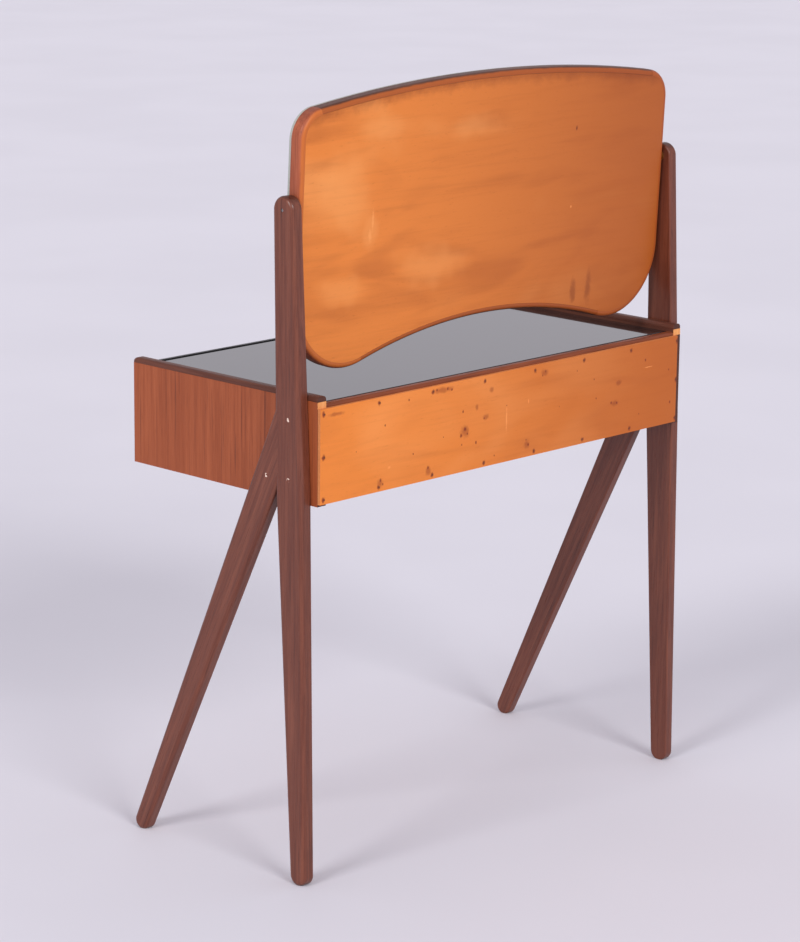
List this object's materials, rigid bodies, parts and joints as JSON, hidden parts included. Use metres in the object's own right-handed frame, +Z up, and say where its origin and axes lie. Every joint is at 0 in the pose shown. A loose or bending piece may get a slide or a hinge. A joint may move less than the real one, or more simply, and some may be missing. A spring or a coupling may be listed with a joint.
{
  "type": "vanity table",
  "caption": "Teak dressing table with a row of drawers, a black glass top and a wide arched mirror that tilts between its rear uprights.",
  "frame": {"origin": "on the floor under the middle of the table's overall depth and width", "axes": "+Z up; the front with its drawers faces -Y and the plywood back faces +Y; +X is the right of a person sitting at the front"},
  "size_m": [0.846, 0.413, 1.1567],
  "materials": {
    "teak_veneer": "oiled teak veneer, upright grain",
    "teak_edge": "oiled solid teak lipping, darker",
    "teak_solid": "oiled solid teak, grain along the leg",
    "teak_lipping": "oiled solid teak strips",
    "teak_knob": "turned teak, satin",
    "lacquered_plywood": "aged orange lacquer on birch plywood",
    "beech": "plain planed beech",
    "black_lacquer": "black lacquered strip, satin",
    "black_glass": "polished opaque black glass",
    "mirror_glass": "silvered glass with a ground edge",
    "steel": "plain steel, dulled",
    "brass": "turned brass"
  },
  "bodies": {
    "cabinet": {"side_panel_left": "teak_veneer", "side_panel_right": "teak_veneer", "side_lipping_left": "teak_edge", "side_lipping_right": "teak_edge", "bottom_panel": "teak_veneer", "divider_left": "beech", "divider_right": "beech", "subtop": "beech", "front_rail": "teak_veneer", "rear_rail": "teak_edge", "glass_stop": "black_lacquer", "glass_top": "black_glass", "back_panel": "lacquered_plywood", "back_panel_nails": "steel", "case_dowels": "beech", "upright_left": "teak_solid", "upright_right": "teak_solid", "front_leg_left": "teak_solid", "front_leg_right": "teak_solid", "leg_dowels": "beech", "leg_screws": "steel", "leg_plugs": "beech", "drawer_runners_left": "beech", "drawer_runners_middle": "beech", "drawer_runners_right": "beech", "pivot_pin_left": "steel", "pivot_pin_right": "steel", "friction_washer_left": "brass", "friction_washer_right": "brass"},
    "mirror": {"mirror_board": "lacquered_plywood", "mirror_glass": "mirror_glass", "mirror_lipping_top": "teak_lipping", "mirror_lipping_bottom": "teak_lipping", "mirror_lipping_left": "teak_lipping", "mirror_lipping_right": "teak_lipping", "pivot_bush_left": "brass", "pivot_bush_right": "brass"},
    "drawer_left": {"drawer_front_left": "teak_veneer", "drawer_side_left_a": "beech", "drawer_side_left_b": "beech", "drawer_back_left": "beech", "drawer_bottom_left": "beech", "knob_left": "teak_knob"},
    "drawer_middle": {"drawer_front_middle": "teak_veneer", "drawer_side_middle_a": "beech", "drawer_side_middle_b": "beech", "drawer_back_middle": "beech", "drawer_bottom_middle": "beech", "knob_middle": "teak_knob"},
    "drawer_right": {"drawer_front_right": "teak_veneer", "drawer_side_right_a": "beech", "drawer_side_right_b": "beech", "drawer_back_right": "beech", "drawer_bottom_right": "beech", "knob_right": "teak_knob"}
  },
  "joints": [
    {"name": "mirror_tilt", "type": "hinge", "parent": "cabinet", "child": "mirror", "pos_m": [0, 0.149, 0.9915], "axis": [1, 0, 0], "range_deg": [-40, 40]},
    {"name": "drawer_left_slide", "type": "slide", "parent": "cabinet", "child": "drawer_left", "axis": [0, -1, 0], "range_m": [0, 0.25]},
    {"name": "drawer_middle_slide", "type": "slide", "parent": "cabinet", "child": "drawer_middle", "axis": [0, -1, 0], "range_m": [0, 0.25]},
    {"name": "drawer_right_slide", "type": "slide", "parent": "cabinet", "child": "drawer_right", "axis": [0, -1, 0], "range_m": [0, 0.25]}
  ]
}
